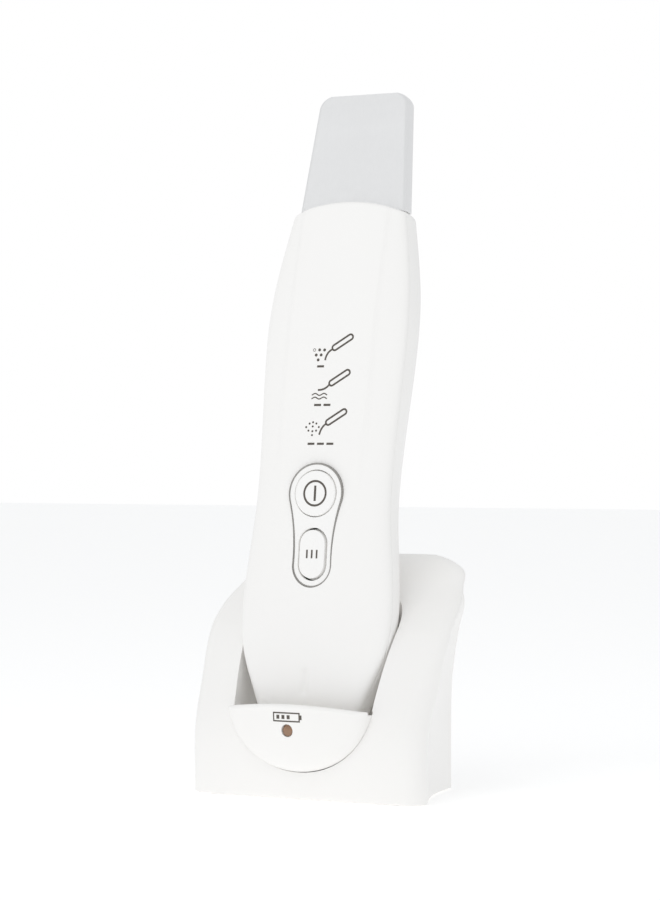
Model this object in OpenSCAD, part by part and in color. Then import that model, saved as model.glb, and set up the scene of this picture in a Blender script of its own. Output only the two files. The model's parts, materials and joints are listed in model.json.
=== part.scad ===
// Ultrasonic skin scrubber standing in its charging cradle. Millimetres, +Z up.
// The cradle is drawn upright. The handset is drawn upright in its own frame, foot at the
// origin and front towards -Y, and lean() sets it into the cradle.

/* [Handset] */
// Height of the handset's case, foot to shoulder
case_h = 164.6; // [163.6:0.2:166]
// Greatest width of the grip, at the palm
grip_w = 51.8; // [50.6:0.2:51.8]
// Width of the case at its top
top_w = 36.6; // [35.6:0.2:37.6]
// Wall of both case shells
shell_wall = 1.9; // [1.6:0.1:2.2]
// How far the handset leans back in the cradle, degrees
lean_angle = 9.7; // [9:0.1:10.5]

/* [Blade] */
// Width of the spatula blade where it leaves the case
blade_base_w = 37.6; // [36:0.2:38]
// Width of the blade at its tip
blade_tip_w = 32; // [30:0.5:34]
// Height of the blade above the case
blade_h = 38.6; // [34:0.2:40]
// Thickness of the blade's sheet
blade_t = 0.9; // [0.7:0.1:1.2]
// Depth of the blade's turned-back sides
blade_side = 4.2; // [3:0.2:4.4]

/* [Buttons] */
// Radius of the power button
power_r = 7; // [6.5:0.1:7.2]
// Width of the set button
set_w = 9.4; // [8.6:0.2:9.6]
// Height of the set button
set_h = 15.6; // [14.6:0.2:15.8]
// Distance from the power button's centre to the set button's centre
button_pitch = 18.6; // [18.3:0.1:18.9]

/* [Cradle] */
// Half-width of the cradle's front at its foot
cradle_hw = 40.2; // [39.5:0.1:40.8]
// Wall of the cradle's moulding
cradle_wall = 2.2; // [1.8:0.1:2.4]
// How far the half-round front panel bulges forward
panel_bulge = 9.2; // [8:0.2:9.6]

/* [Hidden] */
$fn = 64;

white = "white";
warm = "ivory";

// The cradle's front foot sits this far in front of the origin, under the middle of the part.
front_y = -20.8;
foot_pos = [0, 4.2, 17.6];

// Stations up the handset: height, width, front depth, rear depth, parting line's Y.
stations = [
    [0, 24, 2.6, 9.6, 0.6],
    [1.6, 28, 3.6, 12, 0.4],
    [6, 32, 4.4, 13, 0],
    [14, 39, 5.3, 13.4, -0.2],
    [27, grip_w - 2.8, 5.5, 13.4, -0.4],
    [42, grip_w, 5.6, 13.4, -0.8],
    [76, 46.2, 5.4, 14.8, -2.2],
    [124, 48.8, 5, 18.8, -2.4],
    [142, 46.6, 4.8, 18.6, -1.6],
    [case_h + 6, top_w, 4.6, 15, 0.2]
];
round_n = 2.9;
ring_points = 56;

// Stations up the cradle: height, front corner's Y, half-width, back face's Y, back half-width,
// how far the front's middle swells forward of its corners, and the front corners' radius.
cradle_stations = [
    [0.2, 0.4, cradle_hw, 49.8, 27, 0.8, 5.5],
    [20, 0.4, cradle_hw, 49.8, 27, 2.2, 5.5],
    [35, 6.8, cradle_hw + 0.8, 49.8, 27.4, 5.2, 4.5],
    [50, 14.4, cradle_hw + 1.6, 50.4, 29.4, 4.6, 3],
    [58, 22, cradle_hw + 1.1, 50.8, 31.2, 4, 3],
    [65, 30.5, cradle_hw - 1.6, 50.6, 30, 3, 3],
    [69, 34.4, cradle_hw - 3.4, 50.4, 29.2, 2, 3],
    [72, 38, cradle_hw - 9.7, 48.2, 25.5, 1, 3],
    [73.4, 42, cradle_hw - 16, 46.5, 20, 0.4, 3]
];
back_r = 3;
side_hollow = 2.4;

// The handset's pocket: half-width at its round foot and at the grip, depth behind the axis,
// and the foot's height and depth.
pocket_foot_hw = 24.1;
pocket_hw = 26.3;
pocket_rear = 13.9;
pocket_u = [12, 18];
pocket_full = 36;
pocket_n = 3;
panel_hw = 24.1;
panel_front = 1.5;
panel_h = 20.7;
panel_z = 29.5;
panel_wall = 2;
lip_rise = 0.2;
lip_drop = 1.9;
led_z = 21.8;
fit_gap = 0.1;

// Screw posts and feet seen from above, and the inlet's height.
screw_posts = [[-29, 12], [29, 12], [-16, 42.4], [16, 42.4]];
foot_posts = [[-32, 5.8], [32, 5.8], [-20, 36], [20, 36]];
post_h = 32;
jack_z = 11;

// The two charging contacts, in the handset's frame.
pin_x = 6;
contact_y = 4.6;
block_size = [24, 7, 6.6];

// The button panel is a flat patch of the front, tipped forward from the case's own axis.
panel_pos = [0, -7.75, 74.9];
panel_tip = 3.6;
bezel_t = 1.5;
bezel_top_r = 9.4;
bezel_low_r = 6.8;
bezel_pitch = 22;
bezel_waist_r = 60;

lip_crown = 2.8;
blade_y = 0.2;
blade_foot = 0.2;
blade_corner_r = 4.4;
blade_tip_lean = 2.3;
electrode_s = 106;
transducer_y = 6.1;
transducer_r = 6.4;
board_y = -1.9;
icon_heights = [98, 110, 121];
cell_r = 5;
// Height and side of the screws in the rear shell, and the depth at which their heads sit.
rear_screws = [[27, -15], [27, 15], [110, -16], [110, 16]];
screw_seat = 7.2;

function span_of(list, s, k = 0) =
    k >= len(list) - 2 || s < list[k + 1][0] ? k : span_of(list, s, k + 1);
function slope_of(list, k, c) =
    let (a = list[max(0, k - 1)], b = list[min(len(list) - 1, k + 1)]) (b[c] - a[c]) / (b[0] - a[0]);
// Smooth value of column c at height s, through the stations.
function along(list, s, c) =
    let (
        k = span_of(list, s),
        p = list[k],
        q = list[k + 1],
        h = q[0] - p[0],
        t = (s - p[0]) / h
    )
    (2 * pow(t, 3) - 3 * pow(t, 2) + 1) * p[c] + (pow(t, 3) - 2 * pow(t, 2) + t) * h * slope_of(list, k, c)
    + (3 * pow(t, 2) - 2 * pow(t, 3)) * q[c] + (pow(t, 3) - pow(t, 2)) * h * slope_of(list, k + 1, c);

function bend(v, n) = sign(v) * pow(abs(v), 2 / n);
// One rounded cross-section of the case, inset by the given wall.
function case_ring(s, inset) =
    let (
        hw = along(stations, s, 1) / 2 - inset,
        front = along(stations, s, 2) - inset,
        rear = along(stations, s, 3) - inset,
        mid = along(stations, s, 4)
    )
    [for (i = [0:ring_points - 1]) let (a = 360 * i / ring_points)
        [hw * bend(cos(a), round_n), mid + (sin(a) > 0 ? rear : front) * bend(sin(a), round_n), s]];

// Half of a cradle cross-section, from the middle of the front round to the middle of the back.
function cradle_half(z, inset) =
    let (
        f = along(cradle_stations, z, 1) + inset,
        hw = along(cradle_stations, z, 2) - inset,
        b = along(cradle_stations, z, 3) - inset,
        bw = along(cradle_stations, z, 4) - inset,
        r = min(along(cradle_stations, z, 6), (b - f) / 2 - 0.5),
        q = min(back_r, (b - f) / 2 - 0.5)
    )
    concat(
        [for (i = [0:8]) let (x = (hw - r) * i / 9)
            [x, f - along(cradle_stations, z, 5) * (1 - pow(x / hw, 2)), z]],
        [for (a = [-90:18:0]) [hw - r + r * cos(a), f + r + r * sin(a), z]],
        [for (i = [1:6]) let (t = i / 7)
            [hw + (bw - hw) * t - side_hollow * sin(180 * t), f + r + (b - f - r - q) * t, z]],
        [for (a = [0:18:90]) [bw - q + q * cos(a), b - q + q * sin(a), z]]
    );
function mirrored(points) = [for (i = [len(points) - 1:-1:1]) [-points[i][0], points[i][1], points[i][2]]];
function cradle_ring(z, inset) = concat(cradle_half(z, inset), mirrored(cradle_half(z, inset)));

// A closed solid through a list of rings that all have the same number of points.
module skin(rings) {
    n = len(rings[0]);
    m = len(rings);
    polyhedron(
        points = [for (ring = rings) each ring],
        faces = concat(
            [[for (j = [0:n - 1]) j]],
            [for (i = [0:m - 2], j = [0:n - 1])
                each [[i * n + j, (i + 1) * n + j, i * n + (j + 1) % n],
                      [i * n + (j + 1) % n, (i + 1) * n + j, (i + 1) * n + (j + 1) % n]]],
            [[for (j = [n - 1:-1:0]) (m - 1) * n + j]]
        ),
        convexity = 6
    );
}

// Joins a faceted moulding into one mesh.
module moulded() { resize([0, 0, 0]) children(); }

module stand() { translate([0, front_y, 0]) children(); }
module in_handset() { translate(foot_pos) rotate([-lean_angle, 0, 0]) children(); }
module lean() { stand() in_handset() children(); }
module on_panel() { translate(panel_pos) rotate([panel_tip, 0, 0]) rotate([90, 0, 0]) children(); }

module case_solid(from, to, inset, steps) {
    skin([for (i = [0:steps]) case_ring(from + (to - from) * i / steps, inset)]);
}

// The whole hollow case, closed at both ends, with its arched top edge.
module case_hollow() {
    arch_r = (pow(top_w / 2, 2) + lip_crown * lip_crown) / (2 * lip_crown);
    difference() {
        intersection() {
            union() {
                case_solid(0, 14, 0, 8);
                case_solid(14, case_h + lip_crown, 0, 26);
            }
            union() {
                translate([0, 0, case_h + lip_crown - arch_r]) rotate([90, 0, 0])
                    cylinder(r = arch_r, h = 60, center = true, $fn = 240);
                translate([-40, -40, -1]) cube([80, 80, case_h - 20]);
            }
        }
        case_solid(shell_wall, case_h - shell_wall, shell_wall, 24);
        translate([-30, blade_y - 0.1, case_h]) cube([60, 40, 10]);
        translate([-15.5, blade_y - 0.1, case_h - 6]) cube([31, 6, 10]);
    }
}

// Everything in front of the parting line.
module front_side(gap = 0) {
    steps = 24;
    rotate([90, 0, 90]) linear_extrude(height = 80, center = true)
        polygon(concat(
            [for (i = [-1:steps + 1]) let (s = (case_h + 4) * i / steps)
                [along(stations, min(max(s, 0), case_h + 4), 4) - gap, s]],
            [[-40, case_h + 20], [-40, -20]]
        ));
}

function arc(centre, r, from, to, n) =
    [for (i = [0:n]) let (a = from + (to - from) * i / n) centre + r * [cos(a), sin(a)]];
function flipped(points) = [for (i = [len(points) - 1:-1:0]) [-points[i][0], points[i][1]]];
// Outline of the surround, two round lobes joined by a waist, shrunk by a rim's width.
module bezel_shape(rim) {
    waist_r = bezel_waist_r + rim;
    a = bezel_top_r - rim + waist_r;
    b = bezel_low_r - rim + waist_r;
    drop = (a * a - b * b + bezel_pitch * bezel_pitch) / (2 * bezel_pitch);
    side = sqrt(a * a - drop * drop);
    top_a = atan2(-drop, side);
    low_a = atan2(bezel_pitch - drop, side);
    waist = arc([side, -drop], waist_r, 180 + low_a, 180 + top_a, 10);
    polygon(concat(
        arc([0, 0], bezel_top_r - rim, top_a + 2, 178 - top_a, 40),
        flipped(waist),
        arc([0, -bezel_pitch], bezel_low_r - rim, 182 - low_a, 358 + low_a, 30),
        waist
    ));
}

module capsule(w, h) {
    translate([0, h / 2 - w / 2]) circle(d = w);
    translate([0, w / 2 - h / 2]) circle(d = w);
    square([w, h - w], center = true);
}

module pocket(grow) {
    intersection() {
        translate([0, 0, -20]) linear_extrude(height = 110)
            polygon(concat(
                [for (a = [0:7.5:180])
                    [(pocket_hw + grow) * bend(cos(a), pocket_n), (pocket_rear + grow) * bend(sin(a), pocket_n)]],
                [[-pocket_hw - grow, -30], [pocket_hw + grow, -30]]
            ));
        rotate([90, 0, 0]) linear_extrude(height = 100, center = true) {
            translate([0, pocket_u[0]]) scale([pocket_foot_hw + grow, pocket_u[1] + grow]) circle(r = 1, $fn = 72);
            polygon(concat(
                [for (p = [[pocket_foot_hw, pocket_u[0]], [pocket_hw, pocket_full], [pocket_hw, 100]])
                    [p[0] + grow, p[1]]],
                [for (p = [[pocket_hw, 100], [pocket_hw, pocket_full], [pocket_foot_hw, pocket_u[0]]])
                    [-p[0] - grow, p[1]]]
            ));
        }
    }
}

// The pocket as the upright cradle sees it.
module leaning_pocket(grow) { in_handset() pocket(grow); }

module half_moon(grow) {
    intersection() {
        translate([0, panel_z]) scale([panel_hw + grow, panel_h + grow]) circle(r = 1, $fn = 96);
        translate([0, panel_z + lip_rise - 60]) square([120, 120], center = true);
    }
}

module cradle_solid(inset, from, to, steps) {
    skin([for (i = [0:steps]) cradle_ring(from + (to - from) * i / steps, inset)]);
}

module cradle_body() {
    color(white) moulded() stand() difference() {
        union() {
            difference() {
                cradle_solid(0, 0.2, 73.4, 40);
                difference() {
                    cradle_solid(cradle_wall, 0, 70.5, 24);
                    leaning_pocket(2);
                }
                translate([0, 0, -1]) intersection() {
                    cradle_solid(cradle_wall, 0.8, 6, 3);
                    cube([100, 120, 8], center = true);
                }
            }
            for (p = screw_posts) translate([p[0], p[1], 4]) cylinder(r = 3, h = post_h, $fn = 32);
            for (x = [-16, 16]) translate([x - 1, 44, 4]) cube([2, 4.6, post_h]);
        }
        leaning_pocket(0);
        rotate([90, 0, 0]) translate([0, 0, -cradle_wall - 0.2]) linear_extrude(height = 8) half_moon(fit_gap);
        for (p = screw_posts) translate([p[0], p[1], 3]) cylinder(r = 1.2, h = 10, $fn = 24);
        translate([0, 45, jack_z]) rotate([-90, 0, 0]) cylinder(r = 4, h = 12, $fn = 48);
        in_handset() translate([-block_size[0] / 2 - 0.1, contact_y - block_size[1] / 2 - 0.1, -12])
            cube([block_size[0] + 0.2, block_size[1] + 0.2, 10]);
    }
}

module egg(inset) {
    translate([0, -panel_front, panel_z])
        scale([panel_hw - inset, panel_bulge - panel_front - inset, panel_h - inset]) sphere(r = 1, $fn = 64);
}

// A half-round bowl that closes the front of the pocket, with a crowned lip.
module cradle_front_panel() {
    lip_r = (panel_hw * panel_hw + lip_drop * lip_drop) / (2 * lip_drop);
    depth = panel_front + cradle_wall;
    color(white) moulded() stand() intersection() {
        difference() {
            union() {
                intersection() {
                    egg(0);
                    translate([-50, -60, 0]) cube([100, 60.01 - panel_front, 60]);
                }
                rotate([90, 0, 0]) translate([0, 0, -cradle_wall]) linear_extrude(height = depth) half_moon(0);
            }
            egg(panel_wall);
            rotate([90, 0, 0]) translate([0, 0, -cradle_wall - 1]) linear_extrude(height = depth + 1)
                half_moon(-panel_wall);
            translate([0, 0, led_z]) rotate([90, 0, 0]) cylinder(r = 1.85, h = 30, $fn = 32);
        }
        translate([0, 20, panel_z + lip_rise - lip_r]) rotate([90, 0, 0]) cylinder(r = lip_r, h = 60, $fn = 240);
    }
}

module charge_led_lens() {
    color("peru") stand() translate([0, -7.9, led_z]) rotate([90, 0, 0]) {
        cylinder(r = 1.8, h = 0.6);
        translate([0, 0, -2.2]) cylinder(r = 1.8, h = 2.3);
    }
}

module charge_led() {
    color("gainsboro") stand() translate([0, -5.5, led_z]) rotate([-90, 0, 0]) {
        cylinder(r = 1.5, h = 3.4);
        translate([0, 0, 3.4]) cylinder(r = 1.9, h = 0.9);
        for (x = [-1.27, 1.27]) translate([x, 0, 4.3]) {
            cylinder(r = 0.3, h = 0.8, $fn = 16);
            translate([0, 10.6, 0.5]) rotate([90, 0, 0]) cylinder(r = 0.3, h = 10.6, $fn = 16);
        }
    }
}

module cradle_base_plate() {
    color(warm) stand() difference() {
        translate([0, 0, 0.8]) linear_extrude(height = 2)
            polygon([for (p = cradle_ring(2, cradle_wall + 0.15)) [p[0], p[1]]]);
        for (p = screw_posts) translate([p[0], p[1], 0]) cylinder(r = 1.7, h = 6, $fn = 32);
        for (p = screw_posts) translate([p[0], p[1], 0]) cylinder(r = 3, h = 1.7, $fn = 32);
    }
}

module cradle_feet() {
    color("dimgray") stand() for (p = foot_posts) translate([p[0], p[1], 0])
        cylinder(r = 3.2, h = 0.8, $fn = 48);
}

module pan_screw(r, h, head_r, head_h) {
    difference() {
        union() {
            translate([0, 0, -0.01]) cylinder(r = r, h = h, $fn = 32);
            translate([0, 0, -head_h]) cylinder(r = head_r, h = head_h, $fn = 32);
        }
        for (a = [0, 90]) rotate(a) translate([0, 0, -head_h]) cube([head_r * 1.2, 0.5, 0.8], center = true);
    }
}

module cradle_screws() {
    color("lightgray") stand() for (p = screw_posts) translate([p[0], p[1], 1.65]) pan_screw(1.15, 8, 2.6, 0.8);
}

module contact_block() {
    color("gray") lean() difference() {
        translate([-block_size[0] / 2, contact_y - block_size[1] / 2, -2.6 - block_size[2]]) cube(block_size);
        for (x = [-pin_x, pin_x]) translate([x, contact_y, -10]) cylinder(r = 2.55, h = 6.2, $fn = 32);
        for (x = [-pin_x, pin_x]) translate([x, contact_y, -12]) cylinder(r = 1.55, h = 12, $fn = 32);
    }
}

module contact_pins() {
    color("gold") lean() for (x = [-pin_x, pin_x]) translate([x, contact_y, 0]) {
        translate([0, 0, -4.6]) cylinder(r = 1.5, h = 4.55, $fn = 32);
        translate([0, 0, -4.9]) cylinder(r = 2.3, h = 0.8, $fn = 32);
    }
}

module contact_springs() {
    color("silver") lean() for (x = [-pin_x, pin_x]) translate([x, contact_y, 0])
        for (i = [0:3]) translate([0, 0, -9.2 + i * 0.8]) difference() {
            cylinder(r = 2, h = 0.5, $fn = 24);
            translate([0, 0, -1]) cylinder(r = 1.5, h = 3, $fn = 24);
        }
}

module charge_pcb() {
    color("darkgreen") stand() {
        translate([-15, 17, 3.4]) cube([30, 22, 1.2]);
        translate([-11, 24, 4.6]) cube([6, 5, 1.6]);
        translate([6, 22, 4.6]) cube([4, 8, 2.2]);
    }
}

module dc_jack() {
    color("black") stand() difference() {
        union() {
            translate([-4.5, 34.5, 5]) cube([9, 12, 11]);
            translate([0, 46, jack_z]) rotate([-90, 0, 0]) cylinder(r = 3.9, h = 3.4, $fn = 48);
        }
        translate([0, 37, jack_z]) rotate([-90, 0, 0]) difference() {
            cylinder(r = 2.8, h = 20, $fn = 48);
            translate([0, 0, -1]) cylinder(r = 0.65, h = 12.4, $fn = 24);
        }
    }
}

module front_shell() {
    color(white) moulded() lean() difference() {
        intersection() { case_hollow(); front_side(0.05); }
        on_panel() translate([0, 0, -8]) linear_extrude(height = 20) bezel_shape(-0.1);
        shell_contact_holes();
        translate([0, -13.9, 21]) hull() {
            translate([0, 4.3, -4]) sphere(r = 4.3, $fn = 24);
            translate([0, 4.3, 4]) sphere(r = 4.3, $fn = 24);
        }
    }
}

module shell_contact_holes() {
    for (x = [-pin_x, pin_x]) translate([x, contact_y, -1]) cylinder(r = 2.6, h = 5, $fn = 32);
}

module rear_shell() {
    color(white) moulded() lean() difference() {
        union() {
            difference() { case_hollow(); front_side(-0.05); }
            intersection() {
                case_solid(4, 150, 1, 16);
                for (p = rear_screws) translate([p[1], 0.5, p[0]]) rotate([-90, 0, 0]) cylinder(r = 2.6, h = 20, $fn = 24);
            }
        }
        for (p = rear_screws) translate([p[1], 0.2, p[0]]) rotate([-90, 0, 0]) {
            cylinder(r = 1.1, h = 30, $fn = 24);
            translate([0, 0, screw_seat - 0.2]) cylinder(r = 2.1, h = 30, $fn = 24);
        }
        shell_contact_holes();
        electrode_patch(1.1, -5, 0.15);
    }
}

module button_bezel() {
    color("snow") lean() on_panel() translate([0, 0, -bezel_t]) difference() {
        linear_extrude(height = bezel_t + 0.2) bezel_shape(0.55);
        translate([0, 0, -1]) cylinder(r = power_r + 0.25, h = 6);
        translate([0, -button_pitch, -1]) linear_extrude(height = 6) capsule(set_w + 0.5, set_h + 0.5);
    }
}

module button_bezel_rim() {
    color("silver") lean() on_panel() translate([0, 0, -bezel_t]) linear_extrude(height = bezel_t + 0.35)
        difference() { bezel_shape(0); bezel_shape(0.5); }
}

module power_button() {
    color("snow") lean() on_panel() {
        difference() {
            translate([0, 0, -bezel_t - 0.3]) cylinder(r = power_r, h = bezel_t + 1);
            translate([0, 0, 0.45]) difference() { cylinder(r = 4.2, h = 2); translate([0, 0, -1]) cylinder(r = 3.6, h = 4); }
        }
        translate([0, 0, -bezel_t - 0.9]) cylinder(r = power_r + 0.8, h = 0.7);
        translate([0, 0, -bezel_t - 2.1]) cylinder(r = 1.5, h = 1.4, $fn = 32);
    }
}

module set_button() {
    color("snow") lean() on_panel() translate([0, -button_pitch, 0]) {
        translate([0, 0, -bezel_t - 0.3]) linear_extrude(height = bezel_t + 0.9) capsule(set_w, set_h);
        translate([0, 0, -bezel_t - 0.8]) linear_extrude(height = 0.6) capsule(set_w + 1, set_h - 0.6);
        translate([0, 0, -bezel_t - 0.95]) cylinder(r = 1.5, h = 0.5, $fn = 32);
    }
}

module blade_outline(grow) {
    r = blade_corner_r;
    tip = blade_tip_w / 2 + grow;
    base = blade_base_w / 2 + grow;
    polygon([[-base, 0], [base, 0], [tip, blade_h - r], [-tip, blade_h - r]]);
    for (x = [-1, 1]) translate([x * (tip - r), blade_h - r]) circle(r = r);
    translate([-(tip - r), blade_h - r - 0.01]) square([2 * (tip - r), r]);
}

// The blade stands on the case's shoulders behind its arched lip; a tang runs down inside.
module spatula_blade() {
    color("lightgray") lean() translate([0, blade_y, case_h + blade_foot]) rotate([-blade_tip_lean, 0, 0])
        rotate([90, 0, 0]) translate([0, 0, -blade_side]) {
            difference() {
                linear_extrude(height = blade_side) blade_outline(0);
                translate([0, -2, -1]) linear_extrude(height = blade_side - blade_t + 1) blade_outline(-blade_t);
                translate([-30, 0, 0]) cut_tip();
            }
            translate([-6, -18, blade_side - blade_t]) linear_extrude(height = blade_t) square([12, 19]);
            translate([-14, -3, blade_side - blade_t]) linear_extrude(height = blade_t) square([28, 4]);
        }
}

// Takes the turned-back sides down to the sheet towards the tip.
module cut_tip() {
    depth = blade_side - blade_t;
    translate([0, blade_h - blade_corner_r, -0.01]) rotate([90, 0, 90]) linear_extrude(height = 60)
        polygon([[0, 0], [20, 0], [20, depth], [blade_corner_r, depth], [blade_corner_r * 0.7, depth * 0.35]]);
}

module blade_seal() {
    color("whitesmoke") lean() translate([0, 3.1, case_h - 3]) difference() {
        cube([30, 5.4, 3], center = true);
        translate([0, -2, 0]) cube([28.4, 2, 8], center = true);
    }
}

module transducer_horn() {
    flat_y = blade_y + blade_t + 0.2 - transducer_y;
    color("silver") lean() translate([0, transducer_y, 0]) difference() {
        union() {
            translate([0, 0, 131]) cylinder(r = transducer_r, h = 8);
            translate([0, 0, 139]) cylinder(r = 5.4, h = 13);
        }
        translate([-8, flat_y - 4, 145]) cube([16, 4, 12]);
        translate([0, 0, 130]) cylinder(r = 2.05, h = 7, $fn = 32);
    }
}

module piezo_rings() {
    color("tan") lean() translate([0, transducer_y, 0]) for (z = [121.4, 126.2]) translate([0, 0, z]) difference() {
        cylinder(r = transducer_r, h = 4.6);
        translate([0, 0, -1]) cylinder(r = 2.4, h = 7, $fn = 32);
    }
}

module transducer_back_mass() {
    color("gray") lean() translate([0, transducer_y, 109]) difference() {
        cylinder(r = transducer_r, h = 12.2);
        translate([0, 0, -1]) cylinder(r = 2.2, h = 15, $fn = 32);
    }
}

module transducer_bolt() {
    color("lightgray") lean() translate([0, transducer_y, 0]) {
        translate([0, 0, 108.8]) cylinder(r = 2, h = 27.8, $fn = 32);
        translate([0, 0, 105.6]) cylinder(r = 3.6, h = 3.3, $fn = 6);
    }
}

// A full ring round the horn and a saddle behind the back mass.
module transducer_mounts() {
    color("darkslategray") lean() translate([0, transducer_y, 0]) for (z = [112, 133]) translate([0, 0, z]) difference() {
        cylinder(r = transducer_r + 0.9, h = 3);
        translate([0, 0, -1]) cylinder(r = transducer_r + 0.05, h = 5);
        if (z < 120) translate([-10, -10, -1]) cube([20, 8, 5]);
    }
}

module main_pcb() {
    color("darkgreen") lean() translate([-16, board_y, 49]) cube([32, 1.2, 75]);
}

module tact_switches() {
    color("black") lean() for (z = [panel_pos[2], panel_pos[2] - button_pitch]) translate([0, board_y, z]) {
        translate([-3, -0.8, -3]) cube([6, 0.8, 6]);
        rotate([90, 0, 0]) cylinder(r = 1.2, h = 1.15, $fn = 24);
    }
}

module mode_leds() {
    color("khaki") lean() for (z = icon_heights) translate([0, board_y - 0.4, z]) cube([3.2, 0.8, 1.6], center = true);
}

module ultrasonic_coil() {
    color("darkgoldenrod") lean() {
        translate([-8, 0, 92]) cube([16, 9, 1.6]);
        translate([-8, 0, 101.4]) cube([16, 9, 1.6]);
        translate([0, 4.6, 92]) cylinder(r = 4, h = 11, $fn = 32);
    }
}

module battery_cells() {
    color("steelblue") lean() for (x = [-5.4, 5.4]) translate([x, 5.1, 37]) {
        cylinder(r = cell_r, h = 43.2);
        translate([0, 0, 43.2]) cylinder(r = 1.8, h = 0.9, $fn = 32);
    }
}

module battery_terminals() {
    color("silver") lean() {
        translate([-10, 0.6, 35.8]) cube([20, 9, 0.6]);
        for (x = [-5.4, 5.4]) translate([x, 5.1, 36.4]) cylinder(r = 2.2, h = 0.6, $fn = 24);
        for (x = [-9.6, 1.2]) translate([x, 0.6, 81.2]) cube([8.4, 9, 0.6]);
    }
}

module charging_contacts() {
    color("gold") lean() for (x = [-pin_x, pin_x]) translate([x, contact_y, 0]) {
        cylinder(r = 2.5, h = 3);
        translate([0, 0, 3]) cylinder(r = 0.8, h = 6, $fn = 24);
    }
}

// A patch of the rear shell between two depths below its surface.
module electrode_patch(deep, shallow, grow) {
    intersection() {
        difference() {
            case_solid(70, 140, shallow, 20);
            case_solid(69, 141, deep, 20);
        }
        translate([0, 40, electrode_s]) rotate([90, 0, 0]) linear_extrude(height = 40)
            capsule(17 + 2 * grow, 44 + 2 * grow);
    }
}

module hand_electrode() {
    color("silver") moulded() lean() electrode_patch(1, -0.3, 0);
}

module case_screws() {
    color("lightgray") lean() for (p = rear_screws) translate([p[1], screw_seat + 0.05, p[0]]) rotate([90, 0, 0])
        pan_screw(1, 6.4, 1.9, 0.9);
}

cradle_body();
cradle_front_panel();
charge_led_lens();
charge_led();
cradle_base_plate();
cradle_feet();
cradle_screws();
contact_block();
contact_springs();
charge_pcb();
dc_jack();
contact_pins();
front_shell();
rear_shell();
button_bezel();
button_bezel_rim();
spatula_blade();
blade_seal();
transducer_horn();
piezo_rings();
transducer_back_mass();
transducer_bolt();
transducer_mounts();
main_pcb();
tact_switches();
mode_leds();
ultrasonic_coil();
battery_cells();
battery_terminals();
charging_contacts();
hand_electrode();
case_screws();
power_button();
set_button();
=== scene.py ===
import json
import math

import bmesh
import bpy
from mathutils import Matrix, Vector


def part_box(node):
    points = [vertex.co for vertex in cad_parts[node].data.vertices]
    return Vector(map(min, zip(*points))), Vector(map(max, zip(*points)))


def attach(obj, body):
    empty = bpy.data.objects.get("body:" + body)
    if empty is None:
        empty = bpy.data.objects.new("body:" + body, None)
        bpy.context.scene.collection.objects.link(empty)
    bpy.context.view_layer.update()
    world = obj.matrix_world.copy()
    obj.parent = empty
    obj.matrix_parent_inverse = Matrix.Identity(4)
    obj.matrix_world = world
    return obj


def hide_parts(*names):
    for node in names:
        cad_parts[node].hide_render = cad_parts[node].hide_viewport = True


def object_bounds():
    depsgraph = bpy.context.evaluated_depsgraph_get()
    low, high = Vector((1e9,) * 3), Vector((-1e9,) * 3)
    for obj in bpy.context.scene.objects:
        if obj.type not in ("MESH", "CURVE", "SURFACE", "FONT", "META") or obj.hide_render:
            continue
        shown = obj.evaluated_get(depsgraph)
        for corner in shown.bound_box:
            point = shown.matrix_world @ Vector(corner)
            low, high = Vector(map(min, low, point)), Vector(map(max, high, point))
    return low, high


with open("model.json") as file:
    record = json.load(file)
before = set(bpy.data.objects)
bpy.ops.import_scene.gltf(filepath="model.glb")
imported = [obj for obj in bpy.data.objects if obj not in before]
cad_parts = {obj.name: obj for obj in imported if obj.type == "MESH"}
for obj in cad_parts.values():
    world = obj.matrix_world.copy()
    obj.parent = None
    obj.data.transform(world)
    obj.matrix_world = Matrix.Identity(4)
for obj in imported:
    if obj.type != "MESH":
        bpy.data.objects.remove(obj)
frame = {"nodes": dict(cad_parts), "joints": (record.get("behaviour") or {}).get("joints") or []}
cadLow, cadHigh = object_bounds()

mm = 0.001
scene = bpy.context.scene
weldDistance = 0.001  # points closer than this are one, in millimetres
bevelAngle = 50  # only edges sharper than this are rounded, in degrees

# Two working frames, both in millimetres: the cradle's, upright with its front at y = 0,
# and the handset's, foot at its origin, leaning back in the cradle.
lift = next(joint for joint in frame["joints"] if joint["name"] == "handset_lift")
leanAngle = math.atan2(lift["axis"][1], lift["axis"][2])
upright = Matrix.Rotation(-leanAngle, 4, "X")
unlean = Matrix.Rotation(leanAngle, 4, "X")
toMetres = Matrix.Scale(mm, 4)
contactY = 4.6  # the charging contacts, behind the handset's own axis
footFront = 2.6  # the front feet, behind the cradle's front edge
contactEnds = [unlean @ v.co for v in frame["nodes"]["charging_contacts"].data.vertices]
contactMid = (min(p.y for p in contactEnds) + max(p.y for p in contactEnds)) / 2
handsetFoot = Vector((0, contactMid - contactY * mm, min(p.z for p in contactEnds)))
handsetPlace = upright @ Matrix.Translation(handsetFoot) @ toMetres
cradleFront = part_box("cradle_feet")[0].y - footFront * mm
cradlePlace = Matrix.Translation((0, cradleFront, 0)) @ toMetres
print("frame loaded, lean", round(math.degrees(leanAngle), 2))


def clamp(value, low=0.0, high=1.0):
    return max(low, min(high, value))


def softStep(t):
    t = clamp(t)
    return t * t * (3 - 2 * t)


def spanOf(rows, s):
    k = 0
    while k < len(rows) - 2 and s >= rows[k + 1][0]:
        k += 1
    return k


def ramp(rows, s, column=1):  # straight-line value between rows
    k = spanOf(rows, s)
    t = clamp((s - rows[k][0]) / (rows[k + 1][0] - rows[k][0]))
    return rows[k][column] * (1 - t) + rows[k + 1][column] * t


def slopeOf(rows, k, column):
    a, b = rows[max(0, k - 1)], rows[min(len(rows) - 1, k + 1)]
    return (b[column] - a[column]) / (b[0] - a[0])


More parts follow.
